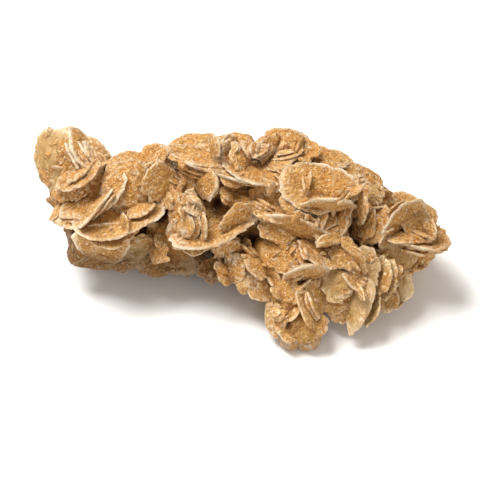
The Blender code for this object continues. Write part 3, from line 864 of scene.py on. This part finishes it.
class Nodes:
    """Short calls for building a material's nodes."""

    def __init__(self, material):
        material.use_nodes = True
        self.tree = material.node_tree
        self.shader = self.tree.nodes["Principled BSDF"]

    def add(self, kind, **settings):
        node = self.tree.nodes.new("ShaderNode" + kind)
        for key, value in settings.items():
            setattr(node, key, value)
        return node

    def link(self, source, target):
        self.tree.links.new(source, target)

    def feed(self, socket, value):
        if isinstance(value, (tuple, int, float)):
            socket.default_value = value
        else:
            self.link(value, socket)

    def split(self, vector):
        node = self.add("SeparateXYZ")
        self.link(vector, node.inputs[0])
        return node.outputs

    def noise(self, vector, scale, detail, rough=0.55):
        node = self.add("TexNoise")
        set_inputs(node, {"Scale": scale, "Detail": detail, "Roughness": rough})
        self.link(vector, node.inputs["Vector"])
        return node.outputs["Fac"]

    def vector_math(self, operation, vector, fixed):
        node = self.add("VectorMath", operation=operation)
        self.link(vector, node.inputs[0])
        node.inputs[1].default_value = fixed
        return node.outputs

    def ramp(self, value, low, high, start=0.0, end=1.0):
        node = self.add("MapRange", clamp=True)
        set_inputs(node, {"From Min": low, "From Max": high, "To Min": start, "To Max": end})
        self.link(value, node.inputs["Value"])
        return node.outputs["Result"]

    def math(self, operation, a, b=0.0):
        node = self.add("Math", operation=operation)
        self.feed(node.inputs[0], a)
        self.feed(node.inputs[1], b)
        return node.outputs[0]

    def chain(self, operation, first, *others):
        for other in others:
            first = self.math(operation, first, other)
        return first

    def times(self, *values):
        return self.chain("MULTIPLY", *values)

    def largest(self, *values):
        return self.chain("MAXIMUM", *values)

    def mix(self, share, a, b, blend="MIX"):
        node = self.add("Mix", data_type="RGBA", blend_type=blend)
        for socket, value in ((0, share), (6, a), (7, b)):
            self.feed(node.inputs[socket], value)
        return node.outputs[2]


class Gypsum(Nodes):
    """The stone's material: the patterns that its colours and its bump share."""

    def __init__(self, material):
        super().__init__(material)
        self.colour = SAND
        self.place_at = self.add("TexCoord").outputs["Object"]
        self.face = self.add("UVMap", uv_map=FACE_LAYER).outputs["UV"]
        self.rim_mm, kind, _ = self.split(self.add("UVMap", uv_map=INFO_LAYER).outputs["UV"])
        self.key = self.math("FRACT", kind)
        self.whole = self.ramp(kind, WHOLE_KEY - 0.1, WHOLE_KEY)
        self.on_blade = self.ramp(kind, -0.2, -0.1)
        clear_kind = self.ramp(self.math("FLOORED_MODULO", kind, WHOLE_KEY), CLEAR_KEY - 0.1, CLEAR_KEY)
        self.clear_kind = self.times(clear_kind, self.on_blade)
        self.pale_kind = self.ramp(kind, PALE_KEY + 0.2, PALE_KEY + 0.1)
        self.patches = self.pattern(PATCHES)
        self.lumps = self.pattern(SAND_LUMPS)
        self.grain = self.pattern(GRAIN)
        self.coarse_grain = self.pattern(COARSE_GRAIN)
        self.lines = self.growth_lines()
        self.steps = self.growth_steps()
        self.streaks = self.noise(self.streaked(), *STREAKS)
        self.clear = self.times(self.clear_kind, self.parts(BARE, 0.60, 0.50))
        self.honey = self.times(self.parts(HONEYED, 0.50, 0.60), self.ramp(self.key, 0.40, 0.5))
        self.smooth = self.largest(self.clear, self.honey)
        self.sandy = self.ramp(self.clear, 0, 1, 1.0, 0.25)

    def pattern(self, sizes):
        """A noise in the stone's own space."""
        return self.noise(self.place_at, *sizes)

    def parts(self, sizes, low, high, start=0.0, end=1.0):
        """Where such a noise is high, from 0 to 1."""
        return self.ramp(self.pattern(sizes), low, high, start, end)

    def paint(self, top, value, low, high, most, *where):
        """Covers the colour with another one where the value is past these bounds."""
        share = self.times(self.ramp(value, low, high, 0.0, most), *where)
        self.colour = self.mix(share, self.colour, top)

    def growth_lines(self):
        wave = self.add("TexWave", wave_type="BANDS", bands_direction="X")
        set_inputs(wave, GROWTH_LINES)
        self.link(self.face, wave.inputs["Vector"])
        return wave.outputs["Fac"]

    def growth_steps(self):
        """Rises from 0 to 1 between one growth step and the next, going in from the rim."""
        waver = self.times(self.pattern(STEP_WAVER), STEP_BEND)
        return self.math("FRACT", self.math("ADD", self.times(self.rim_mm, STEPS_PER_MM), waver))

    def streaked(self):
        """A blade's own place, turned by its key and by a wavering, and drawn out in one direction."""
        turned = self.add("VectorRotate", rotation_type="Z_AXIS")
        self.link(self.face, turned.inputs["Vector"])
        angle = self.math("ADD", self.key, self.times(self.pattern(STREAK_BEND), STREAK_WAVER))
        self.link(self.times(angle, STREAK_TURN), turned.inputs["Angle"])
        return self.vector_math("MULTIPLY", turned.outputs[0], STREAK_DRAW)[0]

    def sand(self):
        """Sand: deep in the hollows, pale on the raised parts, streaked on the blades."""
        self.colour = self.mix(self.parts(BROAD, 0.36, 0.62), SAND, PALE_SAND)
        self.paint(SAND, self.key, 0.0, 1.0, 0.6)
        self.paint(DEEP_SAND, self.patches, 0.48, 0.66, 0.75)
        self.paint(PALE_SAND, self.lumps, 0.49, 0.64, 0.6)
        self.paint(PALE_SAND, self.lines, 0.70, 1.0, 0.15)
        streaky = self.times(self.on_blade, self.parts(STREAKY, 0.40, 0.55))
        self.paint(GRAIN_LIGHT, self.streaks, 0.54, 0.64, 0.5, streaky)
        self.paint(DEEP_SAND, self.streaks, 0.46, 0.36, 0.5, streaky)
        self.paint(DEEP_SAND, self.steps, 0.16, 0.02, 0.4, self.on_blade)

    def crystal(self):
        """Honey, clear and pale grey crystal where the sand leaves it bare."""
        sand = self.mix(self.times(self.honey, 0.65), self.colour, HONEY)
        self.colour = self.mix(self.parts(CLOUDY, 0.40, 0.62), CLEAR, CLEAR_PALE)
        self.paint(CLEAR_PALE, self.streaks, 0.50, 0.66, 0.6)
        self.paint(HONEY, self.streaks, 0.44, 0.34, 0.6)
        self.colour = self.mix(self.times(self.clear, 0.85), sand, self.colour)
        pale = self.times(self.pale_kind, self.ramp(self.lumps, 0.40, 0.58))
        self.colour = self.mix(self.times(pale, 0.7), self.colour, PALE_CRYSTAL)

    def grains(self):
        """Light and dark sand grains, then hollows darker, partly deep sand and partly painted shade, and
        paler worn edges.
        """
        self.paint(GRAIN_LIGHT, self.coarse_grain, 0.55, 0.64, 0.85, self.sandy)
        self.paint(DEEP_SAND, self.grain, 0.54, 0.64, 0.85, self.sandy)
        point = self.add("NewGeometry").outputs["Pointiness"]
        # Creases darkened by pointiness: partly deep sand, partly painted shade; convex edges paler as
        # worn.
        self.paint(DEEP_SAND, point, 0.485, 0.39, 0.8)
        self.paint(PALE_SAND, point, 0.53, 0.60, 0.45)

    def worn_rim(self):
        """Where a rim is worn white: a thin line, wide broken parts, and most of a whole one."""
        thin = self.times(self.ramp(self.rim_mm, 0.7, 0.1, 0, 0.7), self.parts(RIM_GAPS, 0.45, 0.58))
        wide = self.times(
            self.ramp(self.rim_mm, 3.6, 0.4, 0, 0.9),
            self.ramp(self.streaks, 0.46, 0.62),
            self.parts(WIDE_RIMS, 0.42, 0.56, 0.15, 0.8),
        )
        bright = self.times(
            self.whole,
            self.parts(BRIGHT_RIMS, 0.38, 0.58, 0.1, 0.95),
            self.ramp(self.rim_mm, 1.5, 0.3),
            self.ramp(self.clear_kind, 0, 1, 1.0, 0.45),
        )
        return self.largest(thin, wide, bright)

    def wear_and_painted_glints(self):
        """Every cream part: worn rims, flecks, painted highlights as glints along the streaks, and bruised
        patches.
        """
        flecks = self.times(self.parts(FLECKS, 0.62, 0.68, 0, 0.7), self.sandy)
        # Painted highlights: glints along the streaks of the blades.
        painted_glints = self.times(self.ramp(self.streaks, 0.61, 0.66, 0, 0.8), self.on_blade)
        wear_and_painted_glints = self.times(
            self.parts(BRUISES, 0.60, 0.68),
            self.ramp(self.lumps, 0.42, 0.60, 0, 0.8),
            self.ramp(self.clear_kind, 0, 1, 1.0, 0.4),
        )
        return self.largest(self.worn_rim(), self.largest(flecks, painted_glints), wear_and_painted_glints)

    def layout(self):
        """A point's place in the layout, in metres: right and up as a vector, and out."""
        start = self.vector_math("SUBTRACT", self.place_at, place(0, 0, 0) * MM)[0]
        shares = []
        for axis in ((1, 0, 0), (0, 1, 0), (0, 0, 1)):
            shares.append(self.vector_math("DOT_PRODUCT", start, to_world(*axis))["Value"])
        flat = self.add("CombineXYZ")
        self.link(shares[0], flat.inputs[0])
        self.link(shares[1], flat.inputs[1])
        return flat.outputs[0], shares[2]

    def near(self, flat, right, up, radius):
        """1 in the middle of a round spot of the layout and 0 outside it."""
        away = self.vector_math("DISTANCE", flat, (right * MM, up * MM, 0))["Value"]
        return self.ramp(away, radius * MM, radius * MM * 0.6)

    def shade(self):
        """Paints shade: darkens the base below the overhanging left half, and the deep recesses."""
        sideways, _, height = self.split(self.place_at)
        flat, out = self.layout()
        # Painted shade below the overhanging left half: full where a point is low, behind the layout plane
        # and on the left.
        under = self.times(
            self.ramp(height, 0.028, 0.021),
            self.ramp(out, 0.005, 0.0),
            self.ramp(sideways, 0.012, -0.002),
        )
        # Painted shade in the recesses kept open, behind the layout plane.
        pit_shade = self.largest(*[self.near(flat, *recess) for recess in RECESSES])
        pit_shade = self.times(pit_shade, self.ramp(out, 0.001, -0.004))
        self.colour = self.mix(under, self.colour, PAINTED_SHADE, "MULTIPLY")
        self.colour = self.mix(pit_shade, self.colour, PAINTED_PIT_SHADE, "MULTIPLY")

    def bumped(self):
        """The normal, raised by every pattern and less so on smooth crystal."""
        relief = 0.0
        for pattern, height in (
            (self.lines, 0.12),
            (self.steps, 0.35),
            (self.streaks, 1.8),
            (self.patches, -2.2),
            (self.lumps, 2.4),
            (self.coarse_grain, 1.9),
            (self.grain, 1.0),
        ):
            relief = self.math("ADD", relief, self.times(pattern, height))
        bump = self.add("Bump")
        set_inputs(bump, BUMP)
        self.link(self.times(relief, self.ramp(self.smooth, 0, 1, 1.0, 0.25)), bump.inputs["Height"])
        return bump.outputs["Normal"]


def gypsum_material():
    material = bpy.data.materials.new("sandy_gypsum")
    nodes = Gypsum(material)
    # Cream wear on rims, flecks and bruised patches, with painted highlights as glints.
    wear_and_painted_glints = nodes.wear_and_painted_glints()
    rough = nodes.ramp(nodes.math("ADD", nodes.smooth, wear_and_painted_glints), 0, 1.2, 0.80, 0.32)
    nodes.sand()
    nodes.crystal()
    nodes.grains()
    nodes.colour = nodes.mix(nodes.times(wear_and_painted_glints, 0.92), nodes.colour, CREAM)
    nodes.shade()
    nodes.link(nodes.colour, nodes.shader.inputs["Base Color"])
    nodes.link(nodes.bumped(), nodes.shader.inputs["Normal"])
    nodes.link(rough, nodes.shader.inputs["Roughness"])
    set_inputs(nodes.shader, GYPSUM)
    return material


def studio():
    bpy.ops.mesh.primitive_plane_add(size=FLOOR_SIZE, location=(0, 0, 0))
    floor = bpy.context.object
    floor.name = "floor"
    material = bpy.data.materials.new("floor")
    set_inputs(Nodes(material).shader, FLOOR)
    floor.data.materials.append(material)
    world = bpy.data.worlds.new("studio")
    bpy.context.scene.world = world
    world.use_nodes = True
    set_inputs(world.node_tree.nodes["Background"], SKY)
    for light in LIGHTS:
        soft_light(*light)


def soft_light(name, spot, size, power):
    data = bpy.data.lights.new(name, "AREA")
    data.energy = power
    data.size = size
    lamp = new_object(name, data)
    lamp.location = spot
    lamp.rotation_euler = (-Vector(spot)).to_track_quat("-Z", "Y").to_euler()


def photo_camera():
    """Looks square to the layout plane, with a frame 189 mm across at the layout's middle."""
    data = bpy.data.cameras.new("photo_camera")
    data.lens = CAMERA_LENS
    data.sensor_width = CAMERA_SENSOR
    camera = new_object("photo_camera", data)
    camera.location = place(0, 0, 0) * MM + to_world(0, 0, 1) * CAMERA_AWAY
    camera.rotation_euler = to_world(0, 0, -1).to_track_quat("-Z", "Y").to_euler()
    bpy.context.scene.camera = camera


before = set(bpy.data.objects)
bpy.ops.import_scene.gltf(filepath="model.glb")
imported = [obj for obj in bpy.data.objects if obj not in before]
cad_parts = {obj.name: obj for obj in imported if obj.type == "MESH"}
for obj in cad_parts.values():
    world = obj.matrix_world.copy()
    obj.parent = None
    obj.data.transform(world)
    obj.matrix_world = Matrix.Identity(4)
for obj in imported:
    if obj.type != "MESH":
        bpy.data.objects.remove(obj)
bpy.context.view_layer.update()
photo_camera()
studio()
skin = sand_rose()
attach(skin, "root")
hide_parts("sand_rose")
scene = bpy.context.scene
scene.view_settings.view_transform = "Standard"
